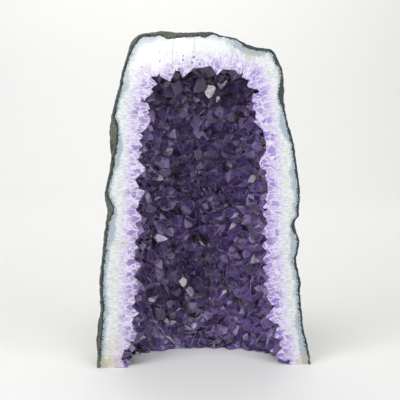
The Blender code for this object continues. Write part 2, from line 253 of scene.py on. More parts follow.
def outward_normals(grid):
    """Unit normals of a grid of points, rows by columns round a closed turn."""
    along_row = np.roll(grid, -1, 1) - np.roll(grid, 1, 1)
    down = np.gradient(grid, axis=0)
    normal = np.cross(along_row, down)
    normal /= np.maximum(np.linalg.norm(normal, axis=-1, keepdims=True), 1e-12)
    outward = grid - np.array(IN_THE_HOLLOW)
    side = np.sign((normal * outward).sum(-1, keepdims=True))
    return normal * side


def noise_field(points, size, shift=0.0):
    """Smooth noise of that size at each point, about -1 to 1."""
    flat = points.reshape(-1, 3) / size + shift
    return np.array([noise.noise(p) for p in flat]).reshape(points.shape[:-1])


def rind_grid(turns):
    """Rows of points over the rind, from the rim backward."""
    heights = (np.linspace(0, 1, RIND_ROWS, endpoint=False) ** ROW_GATHERING) * math.pi / 2
    rays = directions(*np.meshgrid(turns, heights))
    grid = wall_points(rays.reshape(-1, 3), RIM, DEPTH, belly=BELLY).reshape(rays.shape)
    normals = outward_normals(grid)
    normals[0, :, 1] = 0
    normals[0] /= np.linalg.norm(normals[0], axis=-1, keepdims=True)
    behind = grid[..., 1]
    relief = np.zeros(behind.shape)
    for size, height, fade, shift in BUMPS:
        bumps = noise_field(grid, size, np.array(shift)) - BUMP_SINKING
        relief += height * bumps * eased(behind / fade)
    for size, depth in RIM_CHIPS:
        relief[0] += depth * noise_field(grid[0], size)
    return grid + normals * relief[..., None]


def stone_rows():
    """Rows of points of the whole stone, from the back pole over the rim to the pole inside."""
    turns = evenly_turned(np.linspace(-math.pi, math.pi, AROUND, endpoint=False), RIM[0])
    rind = rind_grid(turns)
    rim = rind[0]
    rim[:, 1] = 0
    heights = np.linspace(0, math.pi / 2, WALL_ROWS, endpoint=False)
    rays = directions(*np.meshgrid(turns, heights))
    wall = wall_points(rays.reshape(-1, 3), CAVITY, CAVITY_DEPTH).reshape(rays.shape)
    share = np.linspace(0, 1, CUT_ROWS + 1)[1:-1, None, None]
    cut = rim[None] * (1 - share) + wall[0][None] * share
    return rind[::-1], cut, wall


def nearest_on(outline, points):
    """(distance, place along) of the nearest point of a closed outline, for points in its plane."""
    after = np.roll(outline, -1, 0)
    steps = np.hypot(*(after - outline).T)
    along = np.concatenate([[0], np.cumsum(steps)[:-1]])
    results = []
    for first in range(0, len(points), AT_ONCE):
        part = points[first : first + AT_ONCE]
        gap = part[:, None] - outline[None]
        corner = np.hypot(gap[..., 0], gap[..., 1]).argmin(1)
        found = []
        for start in (corner, (corner - 1) % len(outline)):
            edge = after[start] - outline[start]
            share = ((part - outline[start]) * edge).sum(1) / np.maximum(steps[start] ** 2, 1e-18)
            share = np.clip(share, 0, 1)
            away = np.hypot(*(part - outline[start] - edge * share[:, None]).T)
            found.append((away, along[start] + share * steps[start]))
        before, behind = found
        results.append(np.where(before[0] < behind[0], before, behind))
    return np.concatenate(results, axis=1)


def set_values(mesh, name, values, domain="POINT"):
    """A float for each vertex or face, for the material to read."""
    layer = mesh.attributes.new(name, "FLOAT", domain)
    layer.data.foreach_set("value", np.asarray(values, np.float32))


def add_object(name, data):
    """A new object in the scene."""
    obj = bpy.data.objects.new(name, data)
    bpy.context.scene.collection.objects.link(obj)
    return obj


def add_piece(name, bm):
    """The finished bmesh as an object."""
    mesh = bpy.data.meshes.new(name)
    bm.to_mesh(mesh)
    bm.free()
    return add_object(name, mesh)


def saw_off(bm, place, normal, dist=0.0):
    """Cuts bm through a place, removes what lies on the normal's side, and returns the new edges."""
    parts = bm.verts[:] + bm.edges[:] + bm.faces[:]
    cut = bmesh.ops.bisect_plane(bm, geom=parts, dist=dist, plane_co=place, plane_no=normal, clear_outer=True)
    return [g for g in cut["geom_cut"] if isinstance(g, bmesh.types.BMEdge)]


def grid_mesh(rows_list):
    """(points, faces, face row numbers) of a closed form from rows of points and its two poles."""
    rows = np.concatenate(rows_list)
    count, around = rows.shape[:2]
    points = [tuple(p) for p in rows.reshape(-1, 3)]
    first_pole, last_pole = len(points), len(points) + 1
    points.append(tuple(rows[0].mean(0)))
    points.append((0.0, CAVITY_DEPTH, CENTRE_Z))
    faces, face_rows = [], []
    for column in range(around):
        after = (column + 1) % around
        faces.append((first_pole, column, after))
        face_rows.append(0)
        faces.append((last_pole, (count - 1) * around + after, (count - 1) * around + column))
        face_rows.append(count)
    for row in range(count - 1):
        here, below = row * around, (row + 1) * around
        for column in range(around):
            after = (column + 1) % around
            faces.append((here + column, below + column, below + after, here + after))
            face_rows.append(row + 1)
    return points, faces, face_rows


def make_stone():
    """The stone wall: rough rind, sawn rim and base, and the wall under the crystals."""
    rind, cut, wall = stone_rows()
    points, faces, face_rows = grid_mesh([rind, cut, wall])
    mesh = bpy.data.meshes.new("stone")
    mesh.from_pydata(points, [], faces)
    last_cut = len(rind) + len(cut)
    slots = [RIND if row < len(rind) else RIM_CUT if row <= last_cut else INNER_WALL for row in face_rows]
    mesh.polygons.foreach_set("material_index", slots)
    bm = bmesh.new()
    bm.from_mesh(mesh)
    bpy.data.meshes.remove(mesh)
    edges = saw_off(bm, (0, 0, 0), (0, 0, -1))
    filled = bmesh.ops.triangle_fill(bm, use_beauty=True, edges=edges, normal=(0, 0, -1))
    for g in filled["geom"]:
        if isinstance(g, bmesh.types.BMFace):
            g.material_index = BASE_CUT
    bmesh.ops.recalc_face_normals(bm, faces=bm.faces)
    for face in bm.faces:
        face.smooth = face.material_index == RIND
    outer = np.array([any(f.material_index == RIND for f in v.link_faces) for v in bm.verts])
    stone = add_piece("stone_wall", bm)
    co = vertex_places(stone.data)
    from_rim, from_wall, along = np.zeros((3, len(co)))
    front = co[:, 1] < ON_PLANE
    flat = co[front][:, [0, 2]]
    from_rim[front] = nearest_on(rind[-1][:, [0, 2]], flat)[0] - swelling(flat, RIND_LUMPS_MM)
    from_wall[front], along[front] = nearest_on(closed_spline(CAVITY_MM, OUTLINE_STEPS), flat)
    base = (np.abs(co[:, 2]) < ON_PLANE) & ~front
    edge = co[base & outer][:, :2]
    edge = edge[np.argsort(np.arctan2(edge[:, 1], edge[:, 0]))]
    from_rim[base], along[base] = nearest_on(edge, co[base][:, :2])
    from_wall[base] = np.where(outer[base], BASE_WALL, 0)
    for name, values in (("from_rim", from_rim), ("from_wall", from_wall), ("along", along)):
        set_values(stone.data, name, values / MM)
    return stone


def vertex_places(mesh):
    """The vertices' coordinates as an array."""
    co = np.empty(len(mesh.vertices) * 3)
    mesh.vertices.foreach_get("co", co)
    return co.reshape(-1, 3)


def swelling(places, lumps):
    """How much thicker a layer with those lumps is at places in the saw plane."""
    extra = np.zeros(len(places))
    for centre, height, radius in lumps:
        away = np.hypot(*(places - np.array(centre) * MM).T) / (radius * MM)
        extra += height * MM * np.exp(-(away**2))
    return extra


def sawn_growth(places, least=0.0):
    """How much further than elsewhere the quartz grows into the hollow, near the saw plane."""
    return (least + swelling(places[:, [0, 2]], GROWTH_MM)) * np.exp(-((places[:, 1] / GROWTH_REACH) ** 2))


def wall_place(direction):
    """(point, direction into the hollow) on the inside of the stone wall."""
    around = Vector(direction).orthogonal().normalized()
    beside = Vector(direction).cross(around)
    step = 0.01
    rays = [direction, direction + around * step, direction + beside * step]
    rays = np.array([Vector(r).normalized() for r in rays])
    here, first, second = map(Vector, wall_points(rays, CAVITY, CAVITY_DEPTH))
    normal = (first - here).cross(second - here).normalized()
    if normal.dot(here - Vector((0, 0, CENTRE_Z))) > 0:
        normal.negate()
    return here, normal


def crystal_sites(rng):
    """(place, inward direction, radius) of each crystal, large ones first, spread over the wall."""
    places, radii, sites = [], [], []
    for radius, tries in zip(CRYSTAL_RADII, CRYSTAL_TRIES):
        rays = np.array([[rng.gauss(0, 1) for _ in range(3)] for _ in range(tries)])
        rays /= np.linalg.norm(rays, axis=1, keepdims=True)
        points = wall_points(rays, CAVITY, CAVITY_DEPTH)
        for ray, point in zip(rays, points):
            if point[1] < -GROWTH_MARGIN or point[2] < -GROWTH_MARGIN:
                continue
            if places:
                away = np.linalg.norm(np.array(places) - point, axis=1)
                if (away < CRYSTAL_SPACING * (np.array(radii) + radius)).any():
                    continue
            here, inward = wall_place(Vector(ray))
            places.append(tuple(here))
            radii.append(radius)
            sites.append((here, inward, radius * rng.uniform(1 - RADIUS_SPREAD, 1 + RADIUS_SPREAD)))
    return sites


def crystal_habit(rng):
    """(points, faces) of one quartz tip on a long six-sided prism, for a radius of 1, with its apex at 0."""
    bm = bmesh.new()
    middle = Matrix.Translation((0, 0, PRISM_FOOT / 2 + 1))
    bmesh.ops.create_cone(
        bm, cap_ends=True, segments=6, radius1=1, radius2=1, depth=2 - PRISM_FOOT, matrix=middle
    )
    first_large = rng.randrange(2)
    slope = math.sin(TIP_ANGLE), math.cos(TIP_ANGLE)
    for face in range(6):
        turn = math.radians(60 * face + 30)
        lift = rng.uniform(*(LARGE_FACE_LIFT if face % 2 == first_large else SMALL_FACE_LIFT))
        normal = (math.cos(turn) * slope[1], math.sin(turn) * slope[1], slope[0])
        edges = saw_off(bm, (0, 0, lift), normal, dist=ON_PLANE)
        bmesh.ops.contextual_create(bm, geom=edges)
    bmesh.ops.remove_doubles(bm, verts=bm.verts, dist=1e-5)
    bmesh.ops.recalc_face_normals(bm, faces=bm.faces)
    bm.verts.index_update()
    points = np.array([v.co for v in bm.verts])
    points[:, 2] -= points[:, 2].max()
    faces = [[v.index for v in f.verts] for f in bm.faces]
    bm.free()
    return points, faces


def placed_crystal(habit_points, site, rng):
    """(points, axis) of a habit grown at a site to its radius, height and lean."""
    point, inward, radius = site
    wild = radius < MIDDLE_RADIUS and rng.random() > STRAIGHT_SHARE
    sway = CRYSTAL_LEAN * (WILD_LEAN if wild else 1)
    lean = Vector([rng.gauss(0, sway) for _ in range(3)])
    axis = (inward + lean).normalized()
    turn = axis.to_track_quat("Z", "Y").to_matrix() @ Matrix.Rotation(rng.uniform(0, math.tau), 3, "Z")
    height = TIP_HEIGHT + TIP_HEIGHT_GROWTH * (radius - MIDDLE_RADIUS) + rng.gauss(0, TIP_HEIGHT_SPREAD)
    grown = habit_points * radius * CRYSTAL_SPREAD
    grown[:, 2] += height + sawn_growth(np.array([point]))[0]
    grown[habit_points[:, 2] < PRISM_FOOT + 1, 2] = -ROOT_DEPTH
    return grown @ np.array(turn).T + np.array(point), axis


def apart(sites):
    """The sites' numbers in groups whose crystals don't touch each other."""
    places = np.array([point for point, _, _ in sites])
    radii = np.array([radius for _, _, radius in sites])
    groups = []
    for number, (place, radius) in enumerate(zip(places, radii)):
        for group in groups:
            away = np.linalg.norm(places[group] - place, axis=1)
            if (away > CRYSTAL_SPREAD * (radii[group] + radius) + GROUP_CLEARANCE).all():
                group.append(number)
                break
        else:
            groups.append([number])
    return groups


def grown_crystals():
    """(meshes of crystals that stand clear of each other, sites, axes)."""
    rng = random.Random(GROWTH_SEED)
    habits = [crystal_habit(rng) for _ in range(HABITS)]
    sites = crystal_sites(rng)
    shapes, axes = [], []
    for site in sites:
        habit_points, habit_faces = rng.choice(habits)
        points, axis = placed_crystal(habit_points, site, rng)
        shapes.append((points, habit_faces))
        axes.append(axis)
    meshes = []
    for group in apart(sites):
        points, faces = [], []
        for number in group:
            first = len(points)
            points.extend(shapes[number][0].tolist())
            faces.extend([first + i for i in face] for face in shapes[number][1])
        mesh = bpy.data.meshes.new("growing_crystals")
        mesh.from_pydata(points, [], faces)
        meshes.append(mesh)
    return meshes, sites, axes


def ball(segments, rings, bed):
    """The hollow as a closed ball: to the bed between the crystals, or to the stone wall."""
    bm = bmesh.new()
    poles_along_y = Matrix.Rotation(math.radians(90), 4, "X")
    bmesh.ops.create_uvsphere(bm, u_segments=segments, v_segments=rings, radius=1, matrix=poles_along_y)
    bmesh.ops.triangulate(bm, faces=bm.faces)
    points = np.array([v.co.normalized() for v in bm.verts])
    turn = evenly_turned(np.arctan2(points[:, 2], points[:, 0]), CAVITY[0])
    rays = directions(turn, np.arcsin(np.clip(points[:, 1], -1, 1)))
    inset = -CRUST_BACK
    if bed:
        rough = np.random.default_rng(GROWTH_SEED + 2).uniform(-BED_ROUGHNESS, BED_ROUGHNESS, len(rays))
        wall = wall_points(rays, CAVITY, CAVITY_DEPTH)
        inset = BED_THICKNESS + sawn_growth(wall, CUT_BED_EXTRA) + rough
    for v, place in zip(bm.verts, wall_points(rays, CAVITY, CAVITY_DEPTH, inset)):
        v.co = place
    bmesh.ops.recalc_face_normals(bm, faces=bm.faces)
    return bm


def helper_material(slot):
    """The placeholder that keeps a material slot apart through a Boolean."""
    name = f"helper_{slot}"
    return bpy.data.materials.get(name) or bpy.data.materials.new(name)


def temporary(bm_or_mesh, slot):
    """A helper object for a Boolean, all in one material slot."""
    mesh = bm_or_mesh
    if isinstance(bm_or_mesh, bmesh.types.BMesh):
        mesh = bpy.data.meshes.new("helper")
        bm_or_mesh.to_mesh(mesh)
        bm_or_mesh.free()
    for number in (FACET, CUT, BACKING):
        mesh.materials.append(helper_material(number))
    mesh.polygons.foreach_set("material_index", [slot] * len(mesh.polygons))
    return add_object("helper", mesh)


def boolean(obj, steps):
    """The largest piece of obj after Booleans given as (operation, other object)."""
    for operation, other in steps:
        step = obj.modifiers.new("step", "BOOLEAN")
        step.operation = operation
        step.object = other
        step.solver = "MANIFOLD"
    evaluated = obj.evaluated_get(bpy.context.evaluated_depsgraph_get())
    bm = bmesh.new()
    bm.from_mesh(evaluated.data)
    for helper in [obj, *(other for _, other in steps)]:
        bpy.data.objects.remove(helper)
    return largest_piece(bm)


def largest_piece(bm):
    """bm without the pieces that aren't joined to its largest one."""
    waiting = set(bm.faces)
    pieces = []
    while waiting:
        piece = [waiting.pop()]
        for face in piece:
            beside = {f for v in face.verts for f in v.link_faces} & waiting
            waiting -= beside
            piece.extend(beside)
        pieces.append(piece)
    keep = max(pieces, key=len)
    drop = [face for piece in pieces if piece is not keep for face in piece]
    bmesh.ops.delete(bm, geom=drop, context="FACES")
    return bm


def make_crystals():
    """The crust of crystals, joined into one solid and sawn with the stone."""
    meshes, sites, axes = grown_crystals()
    space = temporary(ball(*BED_GRID, bed=True), FACET)
    open_space = boolean(space, [("DIFFERENCE", temporary(mesh, FACET)) for mesh in meshes])
    saw = bmesh.new()
    bmesh.ops.create_cube(saw, size=SAW_SPAN)
    kept_side = (0, SAW_SPAN / 2 - CRUST_PROUD, SAW_SPAN / 2 + CRUST_LIFT)
    bmesh.ops.translate(saw, verts=saw.verts, vec=kept_side)
    grown = temporary(ball(*BACK_GRID, bed=False), BACKING)
    steps = [("DIFFERENCE", temporary(open_space, FACET)), ("INTERSECT", temporary(saw, CUT))]
    bm = boolean(grown, steps)
    split_cut_faces(bm)
    bevel_facets(bm)
    for face in bm.faces:
        face.smooth = False
    crystals = add_piece("crystals", bm)
    for number in (FACET, CUT, BACKING):
        bpy.data.materials.remove(helper_material(number))
    mark_growth(crystals.data, sites, axes)
    return crystals


def bevel_facets(bm):
    """Gives the larger facets narrow, marked borders that slope to their edges."""
    layer = bm.faces.layers.float.new("border")
    large = []
    for face in bm.faces:
        if face.material_index == FACET and face.calc_area() / face.calc_perimeter() > FACET_NARROWEST:
            large.append(face)
    borders = bmesh.ops.inset_individual(bm, faces=large, thickness=BORDER_WIDTH, depth=BORDER_DROP)
    for face in borders["faces"]:
        face[layer] = 1


def split_cut_faces(bm):
    """Splits the sawn faces of the crust into small cells."""
    for axis, low, high in CUT_SPANS:
        for place in np.arange(low + CUT_CELL / 2, high, CUT_CELL):
            near = []
            for face in bm.faces:
                if face.material_index == CUT:
                    heights = [v.co[axis] for v in face.verts]
                    if min(heights) < place < max(heights):
                        near.append(face)
            around = {e for f in near for e in f.edges} | {v for f in near for v in f.verts}
            bmesh.ops.bisect_plane(
                bm,
                geom=near + list(around),
                plane_co=[place if i == axis else 0 for i in range(3)],
                plane_no=[i == axis for i in range(3)],
            )


def mark_growth(mesh, sites, axes):
    """Stores each crystal's tone, each facet's value for its painted reflections and shade, and each vertex's
    place on its crystal and in the band of the cut.
    """
    roots = np.array([point for point, _, _ in sites])
    radii = np.array([radius for _, _, radius in sites])
    axes = np.array(axes)
    tones = np.random.default_rng(GROWTH_SEED).random(len(sites))

    def own_crystal(places):
        """(number, distance from its axis over its radius) of the crystal that each place is on."""
        numbers, shares = [], []
        for first in range(0, len(places), AT_ONCE):
            part = places[first : first + AT_ONCE]
            squared = (part**2).sum(1)[:, None] - 2 * part @ roots.T + (roots**2).sum(1)
            up = part @ axes.T - (roots * axes).sum(1)
            beside = np.sqrt(np.maximum(squared - up**2, 0)) / radii
            beside[(up < CRYSTAL_SPAN[0]) | (up > CRYSTAL_SPAN[1])] = np.inf
            numbers.append(beside.argmin(1))
            shares.append(beside.min(1))
        return np.concatenate(numbers), np.minimum(np.concatenate(shares), FARTHEST)

    centres, normals = np.empty((2, len(mesh.polygons) * 3))
    mesh.polygons.foreach_get("center", centres)
    mesh.polygons.foreach_get("normal", normals)
    own = own_crystal(centres.reshape(-1, 3))[0]
    set_values(mesh, "tone", tones[own], "FACE")
    normals = normals.reshape(-1, 3)
    first_side = np.cross(axes[own], [0.3, 0.5, 0.8])
    second_side = np.cross(axes[own], first_side)
    turn = np.arctan2((normals * second_side).sum(1), (normals * first_side).sum(1))
    steep = (normals * axes[own]).sum(1) < STEEP
    side = np.round(turn / (math.tau / SIDES)).astype(int) % SIDES + SIDES * steep
    # A random value for each facet, which the amethyst turns into painted reflections and painted shade
    facets = np.random.default_rng(GROWTH_SEED + 1).random((len(sites), 2 * SIDES))
    set_values(mesh, "facet", facets[own, side], "FACE")
    co = vertex_places(mesh)
    set_values(mesh, "beside", own_crystal(co)[1])
    from_wall, along = nearest_on(closed_spline(CAVITY_MM, OUTLINE_STEPS), co[:, [0, 2]])
    rays = co - np.array([0, 0, CENTRE_Z])
    rays /= np.maximum(np.linalg.norm(rays, axis=1, keepdims=True), 1e-9)
    inward = np.linalg.norm(wall_points(rays, CAVITY, CAVITY_DEPTH) - co, axis=1)
    behind = co[:, 1] > MM
    from_wall[behind] = inward[behind]
    along[behind] = np.arctan2(co[behind, 1], co[behind, 0]) * ALONG_BEHIND
    set_values(mesh, "from_wall", from_wall / MM)
    set_values(mesh, "along", along / MM)


class Shader:
    """One material, and short calls that add nodes to it and return their results."""

    def __init__(self, name):
        self.material = bpy.data.materials.new(name)
        self.material.use_nodes = True
        self.tree = self.material.node_tree
        self.surface = self.tree.nodes["Principled BSDF"].inputs
        self.output = self.tree.nodes["Material Output"].inputs
        self.place = self.node("ShaderNodeTexCoord").outputs["Object"]
        self.x, self.y, self.z = self.node("ShaderNodeSeparateXYZ", Vector=self.place).outputs

    def node(self, kind, settings=(), **inputs):
        """A new node with those settings, and values or sockets fed to its inputs."""
        node = self.tree.nodes.new(kind)
        for name, value in dict(settings).items():
            setattr(node, name, value)
        for name, value in inputs.items():
            self.feed(node.inputs[name.replace("_", " ")], value)
        return node

    def feed(self, socket, value):
        """Links a socket, or sets a constant."""
        if isinstance(value, bpy.types.NodeSocket):
            self.tree.links.new(value, socket)
        elif socket.type == "RGBA":
            socket.default_value = (*value, 1)
        else:
            socket.default_value = value

    def with_surface(self, **inputs):
        """The material, with those values or sockets fed to its surface."""
        for name, value in inputs.items():
            self.feed(self.surface[name.replace("_", " ")], value)
        return self.material

    def maths(self, operation, first, second=0.0):
        node = self.node("ShaderNodeMath", {"operation": operation})
        self.feed(node.inputs[0], first)
        self.feed(node.inputs[1], second)
        return node.outputs[0]

    def add(self, first, second):
        return self.maths("ADD", first, second)

    def times(self, first, second):
        return self.maths("MULTIPLY", first, second)

    def step(self, value, low, high, to_low=0.0, to_high=1.0):
        """Eases from to_low to to_high as the value goes from low to high."""
        node = self.node("ShaderNodeMapRange", {"interpolation_type": "SMOOTHSTEP"}, Value=value)
        ends = {"From Min": low, "From Max": high, "To Min": to_low, "To Max": to_high}
        for name, number in ends.items():
            self.feed(node.inputs[name], number)
        return node.outputs["Result"]

    def mix(self, share, first, second):
        """The first colour, with that share of the second."""
        node = self.node("ShaderNodeMix", {"data_type": "RGBA"})
        self.feed(node.inputs[0], share)
        self.feed(node.inputs[6], first)
        self.feed(node.inputs[7], second)
        return node.outputs[2]

    def layered(self, colour, layers):
        """The colour under layers: each a value, the two ends of its easing, a strength and a colour."""
        for value, low, high, strength, tint in layers:
            colour = self.mix(self.times(self.step(value, low, high), strength), colour, tint)
        return colour

    def noise(self, size, detail=3.0, place=None, roughness=0.55):
        """Noise with features of about that size, in metres for the object's own places."""
        place = self.place if place is None else place
        return self.node(
            "ShaderNodeTexNoise", Vector=place, Scale=1 / size, Detail=detail, Roughness=roughness
        ).outputs["Fac"]

    def sway(self, value, reach):
        """A value about 0.5 turned into one about 0, that wide."""
        return self.times(self.add(value, -0.5), reach)

    def cells(self, feature, place, size=1.0):
        """A Voronoi texture's node."""
        return self.node("ShaderNodeTexVoronoi", {"feature": feature}, Vector=place, Scale=1 / size)

    def vector(self, x, y, z=0.0):
        return self.node("ShaderNodeCombineXYZ", X=x, Y=y, Z=z).outputs[0]

    def stored(self, name):
        """A value that the mesh carries."""
        return self.node("ShaderNodeAttribute", {"attribute_name": name}).outputs["Fac"]

    def spot(self, x, z, radius):
        """1 at a place in the saw plane, in millimetres, easing to 0 at that radius."""
        across = self.maths("POWER", self.add(self.x, -x * MM), 2.0)
        up = self.maths("POWER", self.add(self.z, -z * MM), 2.0)
        return self.step(self.maths("SQRT", self.add(across, up)), radius * MM, 0.0)

    def line(self, x, z, slope, low, high, width, wander):
        """1 on a wandering crack through a place in the saw plane, between two heights, in millimetres."""
        aside = self.add(self.x, -x * MM)
        leaning = self.times(self.add(self.z, -z * MM), slope)
        wandering = self.sway(self.noise(0.007, 4.0), wander * MM)
        away = self.maths("ABSOLUTE", self.add(self.add(aside, self.times(leaning, -1.0)), wandering))
        above = self.step(self.z, (low - CRACK_FADE) * MM, low * MM)
        below = self.step(self.z, high * MM, (high - CRACK_FADE) * MM)
        return self.times(self.step(away, width * MM, 0.0), self.times(above, below))

    def bump(self, height, strength, distance):
        """A normal for that relief, whose height of 1 stands for that distance."""
        return self.node("ShaderNodeBump", Height=height, Strength=strength, Distance=distance).outputs[0]


def rind_material():
    """Weathered basalt: grey-green, dark in the pits, ochre in places."""
    s = Shader("rough_rind")
    broad = s.noise(0.028, 5.0, roughness=0.6)
    middle = s.noise(0.007, 7.0, roughness=0.62)
    fine = s.noise(0.0011, 4.0, roughness=0.7)
    dents = s.cells("SMOOTH_F1", s.place, 0.0085).outputs["Distance"]
    pits = s.cells("F1", s.place, 0.0034).outputs["Distance"]
    some = s.step(middle, 0.50, 0.60)
    pit = s.times(s.step(pits, 0.34, 0.16), some)
    colour = s.mix(s.step(middle, 0.28, 0.72), (0.040, 0.052, 0.042), (0.165, 0.180, 0.135))
    layers = (
        (broad, 0.50, 0.68, 0.55, (0.195, 0.155, 0.090)),
        (broad, 0.46, 0.34, 0.55, (0.045, 0.070, 0.062)),
        (fine, 0.52, 0.70, 0.50, (0.30, 0.31, 0.26)),
        (fine, 0.46, 0.32, 0.60, (0.018, 0.023, 0.020)),
    )
    colour = s.mix(s.times(pit, 0.75), s.layered(colour, layers), (0.012, 0.014, 0.012))
    roughness = s.step(middle, 0.3, 0.7, 0.78, 0.95)
    rough = s.add(s.add(middle, s.times(dents, 0.45)), s.add(s.times(fine, 0.16), s.times(pit, -0.22)))
    normal = s.bump(rough, 0.85, 0.0040)
    return s.with_surface(Base_Color=colour, Roughness=roughness, IOR=1.5, Normal=normal)


def growth_colour(s, wall):
    """(colour, cloudiness) of sawn quartz: white in the wall, lilac further in, purple in the sawn tips."""
    along = s.stored("along")
    drift = s.node("ShaderNodeTexNoise", Vector=s.place, Scale=1 / 0.0045, Detail=3.0).outputs["Color"]
    drift_x, drift_y, _ = s.node("ShaderNodeSeparateColor", Color=drift).outputs
    drift_x, drift_y = s.sway(drift_x, 1.6), s.sway(drift_y, 1.6)
    place = s.vector(s.add(s.times(along, 1 / 4.4), drift_x), s.add(s.times(wall, 1 / 7.5), drift_y))
    seam = s.cells("DISTANCE_TO_EDGE", place).outputs["Distance"]
    cell = s.cells("F1", place).outputs["Color"]
    chance, other, _ = s.node("ShaderNodeSeparateColor", Color=cell).outputs
    small = s.vector(s.add(s.times(along, 1 / 1.7), drift_x), s.add(s.times(wall, 1 / 3.6), drift_y))
    small_seam = s.cells("DISTANCE_TO_EDGE", small).outputs["Distance"]
    streak = s.noise(1.0, 4.0, place=s.vector(s.times(along, 0.9), s.times(wall, 0.20)))
    mottle = s.noise(0.0022, 5.0, roughness=0.65)
    cloudy = s.step(s.add(s.times(streak, 0.6), s.times(mottle, 0.4)), 0.36, 0.60)
    white = s.mix(cloudy, (0.500, 0.545, 0.535), (0.735, 0.750, 0.745))
    lilac = s.mix(cloudy, (0.410, 0.355, 0.570), (0.730, 0.690, 0.840))
    near = s.step(s.add(wall, s.sway(mottle, 14.0)), -9.5, 1.0)
    rise = s.add(s.add(wall, s.sway(chance, 11.0)), s.sway(mottle, 8.0))
    purple = s.times(s.step(rise, -1.5, 8.5), s.add(s.times(other, 0.45), 0.60))
    # Paler towards the top: painted light from above on the sawn tips
    purple = s.times(purple, s.step(s.z, 0.245, 0.272, 1.0, 0.65))
    deep = s.mix(chance, (0.120, 0.065, 0.270), (0.280, 0.200, 0.480))
    # Lighter and more violet on the right: partly a more violet hue, partly painted light from the left
    deep = s.mix(s.step(s.x, 0.0, 0.05, 0.0, 0.55), deep, (0.270, 0.150, 0.580))
    colour = s.mix(purple, s.mix(near, white, lilac), deep)
    veins = s.step(wall, -3.0, 3.0)
    colour = s.mix(s.times(s.times(s.step(small_seam, 0.12, 0.03), veins), 0.30), colour, (0.26, 0.20, 0.40))
    colour = s.mix(s.times(s.times(s.step(seam, 0.11, 0.02), veins), 0.65), colour, (0.80, 0.77, 0.88))
    return colour, cloudy


def cut_stone_colour(s):
    """(colour, share past the rind, cloudiness) of the wall: basalt, dark seam, agate, white quartz."""
    rim = s.stored("from_rim")
    left, low = s.step(s.x, 0.03, -0.05), s.step(s.z, 0.20, 0.10)
    fine = s.noise(0.0012, 5.0, roughness=0.7)
    smooth = s.add(rim, s.add(s.times(s.noise(0.006, 3.0), 2.0), -1.0))
    ragged = s.add(smooth, s.sway(fine, 3.0))
    ragged = s.add(ragged, s.sway(s.noise(0.0028, 3.0), 3.2))
    rind_end = s.add(s.times(left, s.add(s.times(low, 0.5), 0.1)), 0.5)
    seam_end = s.add(rind_end, s.add(s.times(left, 0.6), 1.5))
    past_rind = s.add(ragged, s.times(rind_end, -1.0))
    past_seam = s.add(ragged, s.times(seam_end, -1.0))
    rind = s.mix(left, (0.022, 0.031, 0.028), (0.145, 0.155, 0.112))
    rind = s.mix(s.step(fine, 0.36, 0.60, 0.0, 0.85), rind, (0.040, 0.052, 0.044))
    seam = s.mix(s.step(s.noise(0.0030, 2.0), 0.4, 0.6), (0.006, 0.010, 0.011), (0.034, 0.058, 0.064))
    inner = s.step(past_seam, -0.2, 0.3)
    layers = s.add(s.add(smooth, s.times(seam_end, -1.0)), s.times(s.noise(0.010, 3.0), 3.5))
    stripe = s.maths("SINE", s.times(layers, 3.9))
    agate = s.mix(s.add(s.times(stripe, 0.38), 0.5), (0.215, 0.285, 0.360), (0.470, 0.535, 0.580))
    quartz, cloudy = growth_colour(s, s.times(s.stored("from_wall"), -1.0))
    width = s.add(s.step(s.noise(0.035, 2.0), 0.38, 0.62, 1.4, 5.5), s.times(left, low))
    past_agate = s.add(s.add(past_seam, s.times(width, -1.0)), s.sway(cloudy, 1.2))
    colour = s.mix(s.step(past_rind, -0.1, 0.5), rind, seam)
    colour = s.mix(inner, colour, s.mix(s.step(past_agate, -1.0, 2.4), agate, quartz))
    dots = s.cells("F1", s.place, 0.0019).outputs["Distance"]
    ring = s.times(s.step(past_seam, -0.6, 0.2), s.step(past_seam, 1.7, 0.8))
    colour = s.mix(s.times(s.times(s.step(dots, 0.45, 0.28), ring), 0.9), colour, (0.008, 0.012, 0.012))
    return colour, inner, cloudy


